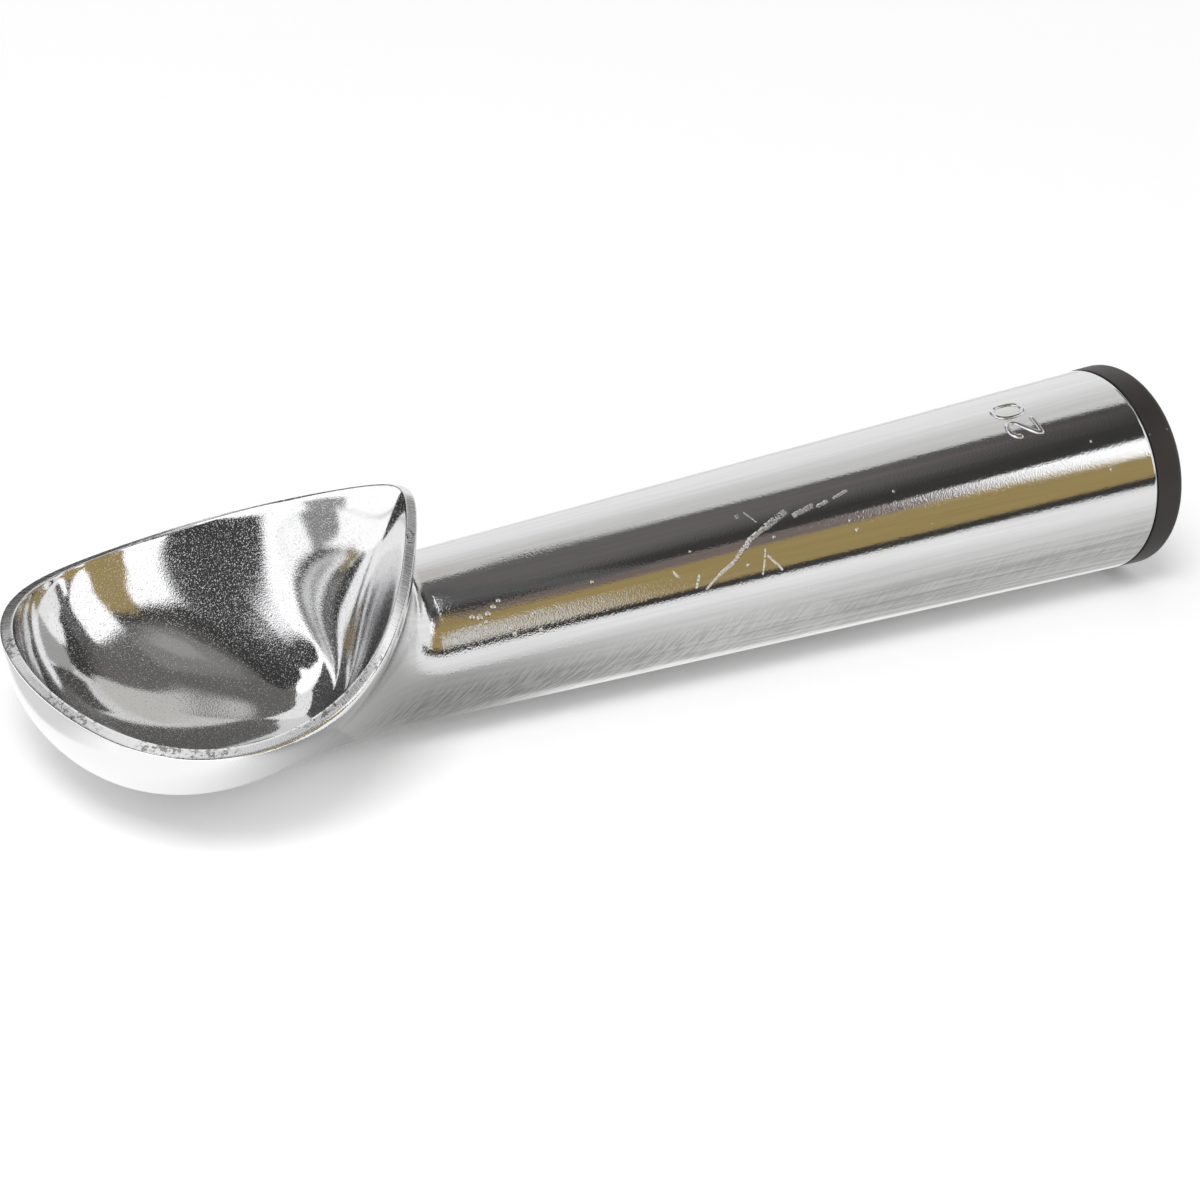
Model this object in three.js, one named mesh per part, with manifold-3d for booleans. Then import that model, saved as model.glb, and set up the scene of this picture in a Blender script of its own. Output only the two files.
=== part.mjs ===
// Ice cream scoop: a one-piece cast bowl and hollow handle, filled with a heat-carrying
// liquid, closed by a plug with a seal ring and finished with a plastic end cap.
import * as THREE from 'three';
import { mergeVertices } from 'three/addons/utils/BufferGeometryUtils.js';
import Module from 'manifold-3d';

const wasm = await Module();
wasm.setup();

// Sizes in millimetres. X runs along the handle from the bowl to the cap and is zero at the
// joint between casting and cap, Z is up, and the bowl opens upward.

// Handle: a round grip that narrows toward the bowl
const handleLength = 118.6;
const handleEndRadius = 15;
const neckRadius = 11.4;

// Rim of the bowl: heel over the neck, tip at the front, both sides dipping between them
const heelForward = 2.3;
const heelRise = 23.2;
const bowlLength = 51.5;
const tipRise = 6.8;
const sideForward = 22;
const sideRise = 10;
const sideHalfWidth = 24.4;

// Ground land around the rim, sloping outward from the sharp inner edge
const landWidth = 1.5;
const landDrop = 0.55;

// Underside of the bowl
const bottomForward = 19.4;
const bottomDrop = 11.4;
const floorWall = 2.3;
const floorForward = 1.4;

// Liquid chamber, open to the rear through the plug bore
const chamberWall = 3.2;
const chamberPastNeck = 4;
const chamberDomeLength = 11;
const boreWall = 3;
const boreDepth = 18;

// Closure plug with the groove and ring that seal the chamber
const plugLength = 8;
const plugChamfer = 0.8;
const plugRecessRadius = 6;
const plugRecessDepth = 4;
const grooveDepth = 2.2;
const grooveSetback = 2.6;

// End cap
const capLength = 5.2;
const capEdgeRadius = 1.3;
const capFloor = 3;
const spigotWall = 2;
const spigotChamfer = 0.7;

// Gap that pieces keep to their seats
const seatGap = 0.3;

// Shape factors of the guide curves and ovals, free of any size
const eggFactor = -0.237;
const cheekFactor = -0.033;
const browFactor = 0.013;
const shoulderFactor = 0.018;
const eggOnset = 1.84;
const keelFactor = -0.036;
const neckTopReach = 0.44;
const heelReach = 0.62;
const heelLean = 0.05;
const underRearReach = 0.37;
const underMidReach = 0.57;
const underFrontReach = 1;
const tipReach = 0.24;
const sideNeckReach = 0.69;
const sideBackReach = -0.1;
const sideTuckReach = -0.2;
const sideDropReach = 0.45;
const floorFrontReach = 0.78;
const floorTipReach = 0.48;
const floorHeelReach = 0.92;
const floorRampReach = 0.47;
const floorSideReach = 0.38;
const floorBackReach = -0.76;
const floorTuckReach = 0.04;
const floorCheekReach = 0.22;

// Fineness
const aroundCount = 64;
const skinSteps = 26;
const floorSteps = 14;
const domeSteps = 6;
const edgeSteps = 5;
const ringSteps = 8;

// Places that follow from the sizes
const neckX = -handleLength;
const taper = (handleEndRadius - neckRadius) / handleLength;
const gripRadius = (x) => handleEndRadius + taper * x;
const heel = new THREE.Vector3(neckX - heelForward, 0, heelRise);
const tip = new THREE.Vector3(heel.x - bowlLength, 0, tipRise);
const side = new THREE.Vector3(heel.x - sideForward, sideHalfWidth, sideRise);
const bottom = new THREE.Vector3(neckX - bottomForward, 0, -bottomDrop);
const pole = new THREE.Vector3(bottom.x - floorForward, 0, floorWall - bottomDrop);
const boreRadius = handleEndRadius - boreWall;
const plugRadius = boreRadius - seatGap;
const plugFront = seatGap - boreDepth;
const plugRear = plugFront + plugLength;
const grooveRadius = plugRadius - grooveDepth;
const ringRadius = (boreRadius - grooveRadius) / 2 - seatGap;
const spigotEnd = plugRear + seatGap;

const point = (x, y, z) => new THREE.Vector3(x, y, z);

function curve(start, startHandle, endHandle, end) {
  const bend = new THREE.CubicBezierCurve3(start, startHandle, endHandle, end);
  bend.arcLengthDivisions = 400;
  return bend;
}

// One ring through a top, an under and a side point. The egg weight moves the ring from a
// plain oval to the egg shape of the rim, and the keel weight slims its lower and upper flanks.
function ovalRing(top, under, flank, eggWeight, keelWeight) {
  const ring = [];
  const halfLength = (top.x - under.x) / 2;
  for (let k = 0; k < aroundCount; k += 1) {
    const angle = (2 * Math.PI * k) / aroundCount;
    const lift = (1 + Math.cos(angle)) / 2;
    const bow = (1 - Math.cos(2 * angle)) / 2;
    const middleX = (top.x + under.x) / 2;
    const middleZ = (top.z + under.z) / 2;
    const shoulder = eggWeight * shoulderFactor * (Math.cos(3 * angle) - Math.cos(angle));
    const egg = eggFactor * Math.sin(2 * angle) + cheekFactor * Math.sin(4 * angle);
    const slim = Math.sin(3 * angle) + Math.sin(angle);
    const across = Math.sin(angle) + eggWeight * (egg + browFactor * slim) + keelWeight * slim;
    ring.push(point(
      under.x + (top.x - under.x) * lift + (flank.x - middleX) * bow + halfLength * shoulder,
      flank.y * across,
      under.z + (top.z - under.z) * lift + (flank.z - middleZ) * bow,
    ));
  }
  return ring;
}

function roundRing(x, radius) {
  const ring = [];
  for (let k = 0; k < aroundCount; k += 1) {
    const angle = (2 * Math.PI * k) / aroundCount;
    ring.push(point(x, radius * Math.sin(angle), radius * Math.cos(angle)));
  }
  return ring;
}

// Rings strung on three guide curves, each guide divided evenly along its own length
function stringRings(topGuide, underGuide, sideGuide, steps, keel) {
  const tops = topGuide.getSpacedPoints(steps);
  const unders = underGuide.getSpacedPoints(steps);
  const flanks = sideGuide.getSpacedPoints(steps);
  return tops.map((top, k) => {
    const share = k / steps;
    const keelWeight = keel * Math.sin(Math.PI * share);
    return ovalRing(top, unders[k], flanks[k], share ** eggOnset, keelWeight);
  });
}

// Outer skin, from the neck circle to the outer edge of the rim land
function outerRings() {
  const landHeel = point(heel.x + landWidth, 0, heel.z - landDrop);
  const landTip = point(tip.x - landWidth, 0, tip.z - landDrop);
  const landSide = point(side.x, side.y + landWidth, side.z - landDrop);
  const neckTop = point(neckX, 0, neckRadius);
  const neckUnder = point(neckX, 0, -neckRadius);
  const neckSide = point(neckX, neckRadius, 0);

  const heelHeight = landHeel.z - neckTop.z;
  const topReach = neckTopReach * heelHeight;
  const topGuide = curve(
    neckTop,
    point(neckTop.x - topReach, 0, neckTop.z - taper * topReach),
    point(landHeel.x - heelLean * heelHeight, 0, landHeel.z - heelReach * heelHeight),
    landHeel,
  );

  const rearSpan = neckUnder.x - bottom.x;
  const frontSpan = bottom.x - landTip.x;
  const rearReach = underRearReach * rearSpan;
  const underGuide = new THREE.CurvePath();
  underGuide.add(curve(
    neckUnder,
    point(neckUnder.x - rearReach, 0, neckUnder.z + taper * rearReach),
    point(bottom.x + underMidReach * rearSpan, 0, bottom.z),
    bottom,
  ));
  underGuide.add(curve(
    bottom,
    point(bottom.x - underFrontReach * frontSpan, 0, bottom.z),
    point(landTip.x, 0, landTip.z - tipReach * (landTip.z - bottom.z)),
    landTip,
  ));

  const sideSpan = neckSide.x - landSide.x;
  const sideReach = sideNeckReach * sideSpan;
  const sideGuide = curve(
    neckSide,
    point(neckSide.x - sideReach, neckSide.y - taper * sideReach, neckSide.z),
    point(
      landSide.x + sideBackReach * sideSpan,
      landSide.y - sideTuckReach * (landSide.y - neckSide.y),
      landSide.z - sideDropReach * (landSide.z - neckSide.z),
    ),
    landSide,
  );
  return stringRings(topGuide, underGuide, sideGuide, skinSteps, keelFactor);
}

// Inside of the bowl, from its lowest point up to the sharp edge of the rim
function floorRings() {
  const heelGuide = curve(
    pole,
    point(pole.x + floorHeelReach * (heel.x - pole.x), 0, pole.z),
    point(
      heel.x - floorRampReach * floorHeelReach * (heel.x - pole.x),
      0,
      heel.z - floorRampReach * (heel.z - pole.z),
    ),
    heel,
  );
  const tipGuide = curve(
    pole,
    point(pole.x - floorFrontReach * (pole.x - tip.x), 0, pole.z),
    point(tip.x, 0, tip.z - floorTipReach * (tip.z - pole.z)),
    tip,
  );
  const sideGuide = curve(
    pole,
    point(pole.x, floorSideReach * side.y, pole.z),
    point(
      side.x + floorBackReach * (pole.x - side.x),
      side.y - floorTuckReach * side.y,
      side.z - floorCheekReach * (side.z - pole.z),
    ),
    side,
  );
  return stringRings(heelGuide, tipGuide, sideGuide, floorSteps, 0);
}

// Closed surface through rings that begin and end at a point
function skinGeometry(rings) {
  const positions = [];
  for (const ring of rings) {
    for (const corner of ring) {
      positions.push(corner.x, corner.y, corner.z);
    }
  }
  const faces = [];
  for (let row = 0; row + 1 < rings.length; row += 1) {
    for (let k = 0; k < aroundCount; k += 1) {
      const next = (k + 1) % aroundCount;
      const a = row * aroundCount + k;
      const b = row * aroundCount + next;
      const c = a + aroundCount;
      const d = b + aroundCount;
      faces.push(a, c, b, b, c, d);
    }
  }
  const geometry = new THREE.BufferGeometry();
  geometry.setAttribute('position', new THREE.Float32BufferAttribute(positions, 3));
  geometry.setIndex(faces);
  return geometry;
}

// Revolved solid whose profile holds [x, radius] pairs and whose axis is the handle's axis
function turned(profile) {
  const outline = profile.map(([x, radius]) => new THREE.Vector2(radius, x));
  const geometry = new THREE.LatheGeometry(outline, aroundCount);
  geometry.rotateZ(-Math.PI / 2);
  return geometry;
}

// Same mesh with shared corners merged and faces of no area left out
function welded(geometry) {
  const bare = new THREE.BufferGeometry();
  bare.setAttribute('position', geometry.getAttribute('position').clone());
  bare.setIndex(geometry.getIndex());
  const merged = mergeVertices(bare, 1e-3);
  const faces = [];
  const old = merged.getIndex().array;
  for (let k = 0; k < old.length; k += 3) {
    const [a, b, c] = [old[k], old[k + 1], old[k + 2]];
    if (a !== b && b !== c && c !== a) {
      faces.push(a, b, c);
    }
  }
  merged.setIndex(faces);
  return merged;
}

function toSolid(geometry) {
  const mesh = welded(geometry);
  return new wasm.Manifold(new wasm.Mesh({
    numProp: 3,
    vertProperties: new Float32Array(mesh.getAttribute('position').array),
    triVerts: new Uint32Array(mesh.getIndex().array),
  }));
}

function fromSolid(solid) {
  const mesh = solid.getMesh();
  const geometry = new THREE.BufferGeometry();
  geometry.setAttribute('position', new THREE.Float32BufferAttribute(mesh.vertProperties, 3));
  geometry.setIndex(Array.from(mesh.triVerts));
  return geometry;
}

// Chamber outline from its domed front end to its rear mouth, drawn in by a gap
function chamberProfile(gap, rearX) {
  const frontX = neckX - chamberPastNeck + gap;
  const domeX = frontX + chamberDomeLength;
  const domeRadius = gripRadius(domeX) - chamberWall - gap;
  const profile = [];
  for (let k = 0; k <= domeSteps; k += 1) {
    const angle = (Math.PI / 2) * (k / domeSteps);
    profile.push([domeX - chamberDomeLength * Math.cos(angle), domeRadius * Math.sin(angle)]);
  }
  profile[0][1] = 0;
  profile.push([rearX, gripRadius(rearX) - chamberWall - gap]);
  return profile;
}

function castingGeometry() {
  const inside = floorRings();
  const outside = outerRings().reverse();
  const rings = [...inside, ...outside, roundRing(0, handleEndRadius), roundRing(0, 0)];
  const body = toSolid(skinGeometry(rings));
  const hollow = chamberProfile(0, -boreDepth);
  hollow.push([-boreDepth, boreRadius]);
  hollow.push([capLength, boreRadius]);
  hollow.push([capLength, 0]);
  return fromSolid(body.subtract(toSolid(turned(hollow))));
}

function fluidGeometry() {
  const profile = chamberProfile(seatGap, -boreDepth);
  profile.push([-boreDepth, 0]);
  return turned(profile);
}

function plugGeometry() {
  const grooveFront = plugFront + grooveSetback;
  const grooveRear = grooveFront + 2 * (ringRadius + seatGap);
  return turned([
    [plugFront, 0],
    [plugFront, plugRadius - plugChamfer],
    [plugFront + plugChamfer, plugRadius],
    [grooveFront, plugRadius],
    [grooveFront, grooveRadius],
    [grooveRear, grooveRadius],
    [grooveRear, plugRadius],
    [plugRear, plugRadius],
    [plugRear, plugRecessRadius],
    [plugRear - plugRecessDepth, plugRecessRadius],
    [plugRear - plugRecessDepth, 0],
  ]);
}

function sealGeometry() {
  const geometry = new THREE.TorusGeometry(
    grooveRadius + seatGap + ringRadius,
    ringRadius,
    ringSteps,
    aroundCount,
  );
  geometry.rotateY(Math.PI / 2);
  geometry.translate(plugFront + grooveSetback + seatGap + ringRadius, 0, 0);
  return geometry;
}

function capGeometry() {
  const spigotRadius = boreRadius - seatGap;
  const hollowRadius = spigotRadius - spigotWall;
  const hollowEnd = capLength - capFloor;
  const edgeX = capLength - capEdgeRadius;
  const edgeCentre = gripRadius(edgeX) - capEdgeRadius;
  const profile = [
    [hollowEnd, 0],
    [hollowEnd, hollowRadius],
    [spigotEnd, hollowRadius],
    [spigotEnd, spigotRadius - spigotChamfer],
    [spigotEnd + spigotChamfer, spigotRadius],
    [seatGap, spigotRadius],
    [seatGap, gripRadius(seatGap)],
  ];
  for (let k = 0; k <= edgeSteps; k += 1) {
    const angle = (Math.PI / 2) * (k / edgeSteps);
    profile.push([
      edgeX + capEdgeRadius * Math.sin(angle),
      edgeCentre + capEdgeRadius * Math.cos(angle),
    ]);
  }
  profile.push([capLength, 0]);
  return turned(profile);
}

const aluminium = new THREE.MeshStandardMaterial({
  color: 0xc9cacb,
  roughness: 0.22,
  metalness: 1,
});
const liquid = new THREE.MeshStandardMaterial({
  color: 0x9fb8a6,
  roughness: 0.1,
  metalness: 0,
});
const plugMetal = new THREE.MeshStandardMaterial({
  color: 0xa9abad,
  roughness: 0.4,
  metalness: 1,
});
const sealRubber = new THREE.MeshStandardMaterial({
  color: 0x1d1d1e,
  roughness: 0.8,
  metalness: 0,
});
const capPlastic = new THREE.MeshStandardMaterial({
  color: 0x272524,
  roughness: 0.55,
  metalness: 0,
});

function piece(name, geometry, material) {
  const mesh = new THREE.Mesh(welded(geometry), material);
  mesh.geometry.computeVertexNormals();
  mesh.name = name;
  return mesh;
}

// Everything in the handle's own frame, then laid down on the bowl's bottom and the cap's edge
const handleFrame = new THREE.Group();
handleFrame.add(piece('scoop_casting', castingGeometry(), aluminium));
handleFrame.add(piece('heat_fluid', fluidGeometry(), liquid));
handleFrame.add(piece('closure_plug', plugGeometry(), plugMetal));
handleFrame.add(piece('plug_seal_ring', sealGeometry(), sealRubber));
handleFrame.add(piece('end_cap', capGeometry(), capPlastic));

const restX = capLength - capEdgeRadius;
const restTilt = Math.atan((gripRadius(restX) - bottomDrop) / (restX - bottom.x));
handleFrame.rotation.y = -restTilt;

const scoop = new THREE.Group();
scoop.add(handleFrame);
scoop.updateMatrixWorld(true);
const reach = new THREE.Box3().setFromObject(scoop, true);
const centre = reach.getCenter(new THREE.Vector3());
handleFrame.position.set(-centre.x, -centre.y, -reach.min.z);
scoop.updateMatrixWorld(true);

export default scoop;
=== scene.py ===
import math

import bmesh
import bpy
from mathutils import Matrix, Vector, geometry, noise


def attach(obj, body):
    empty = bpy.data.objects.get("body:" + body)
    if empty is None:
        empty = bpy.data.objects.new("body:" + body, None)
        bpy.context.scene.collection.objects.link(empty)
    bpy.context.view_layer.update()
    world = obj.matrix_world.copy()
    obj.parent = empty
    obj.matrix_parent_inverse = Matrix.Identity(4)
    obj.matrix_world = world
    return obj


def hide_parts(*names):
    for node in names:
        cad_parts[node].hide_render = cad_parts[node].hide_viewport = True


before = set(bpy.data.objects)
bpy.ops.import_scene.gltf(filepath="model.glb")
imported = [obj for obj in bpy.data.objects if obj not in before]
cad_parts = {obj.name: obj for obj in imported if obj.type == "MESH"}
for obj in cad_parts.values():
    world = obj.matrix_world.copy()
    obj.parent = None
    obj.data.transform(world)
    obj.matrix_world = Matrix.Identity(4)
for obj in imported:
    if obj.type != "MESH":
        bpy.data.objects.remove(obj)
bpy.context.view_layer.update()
scene = bpy.context.scene
print("frame loaded, nodes:", sorted(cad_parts))

# the camera, set to the photograph's angle
shot = {
    "eye": Vector((-0.288181, -0.397893, 0.262374)),
    "right": Vector((0.835046, -0.543332, 0.086535)),
    "up": Vector((0.185371, 0.425938, 0.885559)),
    "back": Vector((-0.518011, -0.723442, 0.456396)),
    "lens": 119.315,
    "sensor": 36.0,
}
lensData = bpy.data.cameras.new("shotCamera")
lensData.sensor_width = shot["sensor"]
lensData.lens = shot["lens"]
lensData.clip_start = 0.01
lensData.clip_end = 50.0
camera = bpy.data.objects.new("shotCamera", lensData)
turn = Matrix((shot["right"], shot["up"], shot["back"])).transposed()
camera.matrix_world = Matrix.Translation(shot["eye"]) @ turn.to_4x4()
scene.collection.objects.link(camera)
scene.camera = camera
print("camera set")


# shader maths: a wire holds one socket, and sums on wires add Math nodes
class Wire:
    def __init__(self, tree, socket=None):
        self.tree = tree
        self.socket = socket

    def add(self, kind, settings=None, inputs=None, out=0):
        node = self.tree.nodes.new(kind)
        for name, value in (settings or {}).items():
            setattr(node, name, value)
        for key, value in (inputs or {}).items():
            if isinstance(value, Wire):
                self.tree.links.new(value.socket, node.inputs[key])
            else:
                node.inputs[key].default_value = value
        return Wire(self.tree, node.outputs[out] if len(node.outputs) else None)

    def math(self, operation, first, second):
        return self.add("ShaderNodeMath", {"operation": operation}, {0: first, 1: second})

    def __add__(self, other):
        return self.math("ADD", self, other)

    def __radd__(self, other):
        return self.math("ADD", other, self)

    def __sub__(self, other):
        return self.math("SUBTRACT", self, other)

    def __rsub__(self, other):
        return self.math("SUBTRACT", other, self)

    def __mul__(self, other):
        return self.math("MULTIPLY", self, other)

    def __rmul__(self, other):
        return self.math("MULTIPLY", other, self)

    def __abs__(self):
        return self.add("ShaderNodeMath", {"operation": "ABSOLUTE"}, {0: self})


def step(value, low, high):
    # smooth rise from 0 at low to 1 at high
    return value.add(
        "ShaderNodeMapRange",
        {"interpolation_type": "SMOOTHSTEP"},
        {"Value": value, "From Min": low, "From Max": high},
    )


def mixShade(wire, factor, first, second):
    # the Mix node's colours are sockets 6 and 7, its mixed colour is output 2
    shades = [value if isinstance(value, Wire) else (*value, 1.0) for value in (first, second)]
    return wire.add("ShaderNodeMix", {"data_type": "RGBA"}, {0: factor, 6: shades[0], 7: shades[1]}, 2)


def newMaterial(name):
    material = bpy.data.materials.new(name)
    material.use_nodes = True
    material.node_tree.nodes.clear()
    return material, Wire(material.node_tree)


def grain(wire, place, scale, detail=2.0, rough=0.5):
    return wire.add(
        "ShaderNodeTexNoise",
        {"noise_dimensions": "3D"},
        {"Vector": place, "Scale": scale, "Detail": detail, "Roughness": rough},
    )


def stretched(wire, place, size, tilt=(0.0, 0.0, 0.0)):
    return wire.add(
        "ShaderNodeMapping",
        {"vector_type": "POINT"},
        {"Vector": place, "Rotation": tilt, "Scale": size},
    )


def bump(wire, height, strength, distance):
    return wire.add("ShaderNodeBump", None, {"Height": height, "Strength": strength, "Distance": distance})


def finishMaterial(wire, inputs):
    shader = wire.add("ShaderNodeBsdfPrincipled", None, inputs)
    wire.add("ShaderNodeOutputMaterial", None, {"Surface": shader})


# the handle's own frame: axis along X, cap joint at zero, millimetres
lay = {"tilt": -0.0261982408, "shift": Vector((0.0842219242, 0.0, 0.0150558095)), "scale": 0.001}
toFrame = (
    Matrix.Translation(lay["shift"])
    @ Matrix.Rotation(lay["tilt"], 4, "Y")
    @ Matrix.Scale(lay["scale"], 4)
)


def handlePlace(wire):
    # object coordinates turned back into the handle's frame, in metres
    place = wire.add("ShaderNodeTexCoord", None, None, "Object")
    return wire.add(
        "ShaderNodeMapping",
        {"vector_type": "TEXTURE"},
        {"Vector": place, "Location": lay["shift"], "Rotation": (0.0, lay["tilt"], 0.0)},
    )


# marks of wear on the handle: way along the axis and round it, in millimetres
wear = {
    "scratches": [
        (-78.3, 16.3, -75.9, 14.7, 0.22),
        (-75.9, 14.7, -73.7, 13.7, 0.34),
        (-73.7, 13.7, -71.7, 12.3, 0.34),
        (-71.7, 12.3, -70.0, 11.1, 0.4),
        (-70.0, 11.1, -66.8, 9.8, 0.42),
        (-66.8, 9.8, -63.1, 8.4, 0.6),
        (-61.8, 9.2, -58.5, 8.5, 0.5),
        (-57.6, 8.8, -55.9, 8.4, 0.34),
        (-54.6, 8.2, -52.2, 7.6, 0.26),
        (-70.0, 11.1, -70.7, 12.0, 0.24),
        (-68.0, 12.8, -69.1, 16.1, 0.14),
        (-67.8, 13.8, -65.9, 16.1, 0.18),
        (-79.2, 14.2, -79.9, 15.8, 0.2),
        (-83.1, 12.8, -82.4, 13.7, 0.2),
        (-69.1, 7.0, -68.0, 8.8, 0.12),
    ],
    "dents": [
        (-114.4, 12.1, 0.42),
        (-113.3, 12.4, 0.5),
        (-112.0, 12.2, 0.45),
        (-111.0, 11.4, 0.42),
        (-110.0, 10.7, 0.36),
        (-112.6, 13.3, 0.3),
        (-113.6, 13.6, 0.34),
        (-109.3, 15.2, 0.34),
        (-108.7, 16.1, 0.34),
        (-109.9, 14.6, 0.26),
        (-105.3, 13.7, 0.36),
        (-104.7, 16.4, 0.3),
        (-70.4, 7.2, 0.5),
        (-71.3, 14.4, 0.24),
        (-66.1, 11.5, 0.26),
        (-79.6, 10.6, 0.2),
        (-52.7, 13.2, 0.32),
        (-61.0, 20.2, 0.3),
    ],
    "meanRadius": 0.013,
    "core": 0.35,
}


def unrolled(wire, place):
    # the handle's skin rolled out flat: along the axis, then round from the top to the front
    parts = wire.add("ShaderNodeSeparateXYZ", None, {0: place})
    sides = parts.socket.node.outputs
    turned = wire.math("ARCTAN2", -1 * Wire(wire.tree, sides["Y"]), Wire(wire.tree, sides["Z"]))
    flat = wire.add("ShaderNodeCombineXYZ", None, {0: parts, 1: wear["meanRadius"] * turned})
    return flat, parts, turned


def scratchMask(wire, flat, mark):
    startX, startY, endX, endY, width = (lay["scale"] * value for value in mark)
    length = math.hypot(endX - startX, endY - startY)
    lean = math.atan2(endY - startY, endX - startX)
    local = wire.add(
        "ShaderNodeMapping",
        {"vector_type": "TEXTURE"},
        {"Vector": flat, "Location": (startX, startY, 0.0), "Rotation": (0.0, 0.0, lean)},
    )
    along = wire.add("ShaderNodeSeparateXYZ", None, {0: local})
    across = abs(Wire(wire.tree, along.socket.node.outputs["Y"]))
    inside = step(along, -width, 0.0) * (1 - step(along, length, length + width))
    return inside * (1 - step(across, wear["core"] * width, width))


def dentMask(wire, flat, mark):
    x, y, radius = (lay["scale"] * value for value in mark)
    away = wire.add("ShaderNodeVectorMath", {"operation": "DISTANCE"}, {0: flat, 1: (x, y, 0.0)}, 1)
    return 1 - step(away, wear["core"] * radius, radius)


def wearMask(wire, flat, place):
    crumbs = grain(wire, place, 3200.0, 2.0, 0.6)
    scratched = 0.0
    for mark in wear["scratches"]:
        scratched = scratched + scratchMask(wire, flat, mark)
    scratched = scratched * step(crumbs, 0.4, 0.56)
    for mark in wear["dents"]:
        scratched = scratched + dentMask(wire, flat, mark)
    return scratched


# polished metal of the handle and of the bowl's outside: From values are metres toward the bowl,
# # Under values are turns round the handle; the lower side's satin colour is brushed strokes with painted
# shade
polish = {
    "streakScale": (35.0, 1500.0, 1.0),
    "strokeScale": (300.0, 2200.0, 1.0),
    "strokeLean": 0.95,
    "slantFrom": (0.045, 0.095),
    "pebbleFrom": (0.085, 0.112),
    "bowlFrom": (0.122, 0.142),
    "frontUnder": (1.52, 1.95),
    "rearUnder": (2.2, 2.5),
    "bright": ((0.72, 0.72, 0.722), (0.775, 0.775, 0.775)),
    # satin colours: brushed strokes, darkened by painted shade on the lower side
    "satin": ((0.38, 0.378, 0.37), (0.65, 0.647, 0.64)),
    # lighter colour of the bowl's outside: painted light that brightens its reflections
    "bowl": (0.87, 0.87, 0.87),
    "bump": (0.4, 0.00005),
}


def polishedSkin():
    material, wire = newMaterial("polishedSkin")
    place = handlePlace(wire)
    flat, along, turned = unrolled(wire, place)
    streaks = grain(wire, stretched(wire, flat, polish["streakScale"]), 1.0, 3.0, 0.6)
    leaning = stretched(wire, flat, (1.0, 1.0, 1.0), (0.0, 0.0, polish["strokeLean"]))
    brushed = grain(wire, stretched(wire, leaning, polish["strokeScale"]), 1.0, 2.0, 0.55)
    clouds = grain(wire, place, 90.0, 3.0, 0.55)
    peel = grain(wire, place, 3800.0, 1.5, 0.5)
    pits = wire.add(
        "ShaderNodeTexVoronoi",
        {"feature": "F1"},
        {"Vector": place, "Scale": 330.0, "Randomness": 1.0},
    )
    sparse = step(grain(wire, place, 160.0, 1.0), 0.55, 0.62)
    pitMask = (1 - step(pits, 0.03, 0.085)) * sparse
    worn = wearMask(wire, flat, place) + pitMask
    under = step(turned, *polish["frontUnder"]) + step(-1 * turned, *polish["rearUnder"])
    # lengthwise polish by the cap, slanting file strokes by the bowl
    slanted = step(-1 * along, *polish["slantFrom"])
    strokes = 0.7 * streaks + 0.3 * brushed + 0.45 * slanted * (brushed - streaks)
    satin = under * strokes
    bowlShare = step(-1 * along, *polish["bowlFrom"])
    rough = 0.045 + 0.04 * clouds + 0.2 * satin + 0.3 * worn
    shade = mixShade(wire, step(streaks, 0.28, 0.72), *polish["bright"])
    satinAndPaintedShade = mixShade(wire, step(strokes, 0.39, 0.6), *polish["satin"])
    # the lower side takes the satin colour: brushed strokes and painted shade that darkens the underside
    shade = mixShade(wire, under * (1 - 0.4 * clouds), shade, satinAndPaintedShade)
    # toward the bowl the colour turns lighter: painted light on the bowl's outside
    shade = mixShade(wire, bowlShare, shade, polish["bowl"])
    pebbled = 0.45 + 0.5 * step(-1 * along, *polish["pebbleFrom"])
    height = pebbled * peel + 0.1 * satin - 2.5 * worn
    normal = bump(wire, height, *polish["bump"])
    finishMaterial(
        wire,
        {"Base Color": shade, "Metallic": 1.0, "Roughness": rough, "Normal": normal},
    )
    return material


# mirror-bright inside of the bowl with its orange peel
mirror = {
    "peelScale": 4300.0,
    "swellScale": 260.0,
    "cloudScale": 110.0,
    "speckScale": 5200.0,
    "speckRough": 0.34,
    "shades": ((0.73, 0.73, 0.735), (0.8, 0.8, 0.8)),
    "bump": (0.15, 0.00003),
}


def brightHollow():
    material, wire = newMaterial("brightHollow")
    place = handlePlace(wire)
    peel = grain(wire, place, mirror["peelScale"], 2.0, 0.5)
    swell = grain(wire, place, mirror["swellScale"], 2.0, 0.5)
    clouds = grain(wire, place, mirror["cloudScale"], 3.0, 0.55)
    specks = step(grain(wire, place, mirror["speckScale"], 2.0, 0.7), 0.55, 0.66)
    rough = 0.03 + 0.03 * clouds + mirror["speckRough"] * specks
    shade = mixShade(wire, clouds, *mirror["shades"])
    normal = bump(wire, peel + 0.6 * swell, *mirror["bump"])
    finishMaterial(
        wire,
        {"Base Color": shade, "Metallic": 1.0, "Roughness": rough, "Normal": normal},
    )
    return material


# ground land of the rim, with hatch marks across it and nicks
ground = {
    "hatchScale": (900.0, 6.0, 1.0),
    "nickScale": 1300.0,
    "patchScale": 110.0,
    "shades": ((0.8, 0.8, 0.805), (0.9, 0.9, 0.9)),
    "nickShade": (0.34, 0.335, 0.33),
    "bump": (0.28, 0.00004),
}


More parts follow.
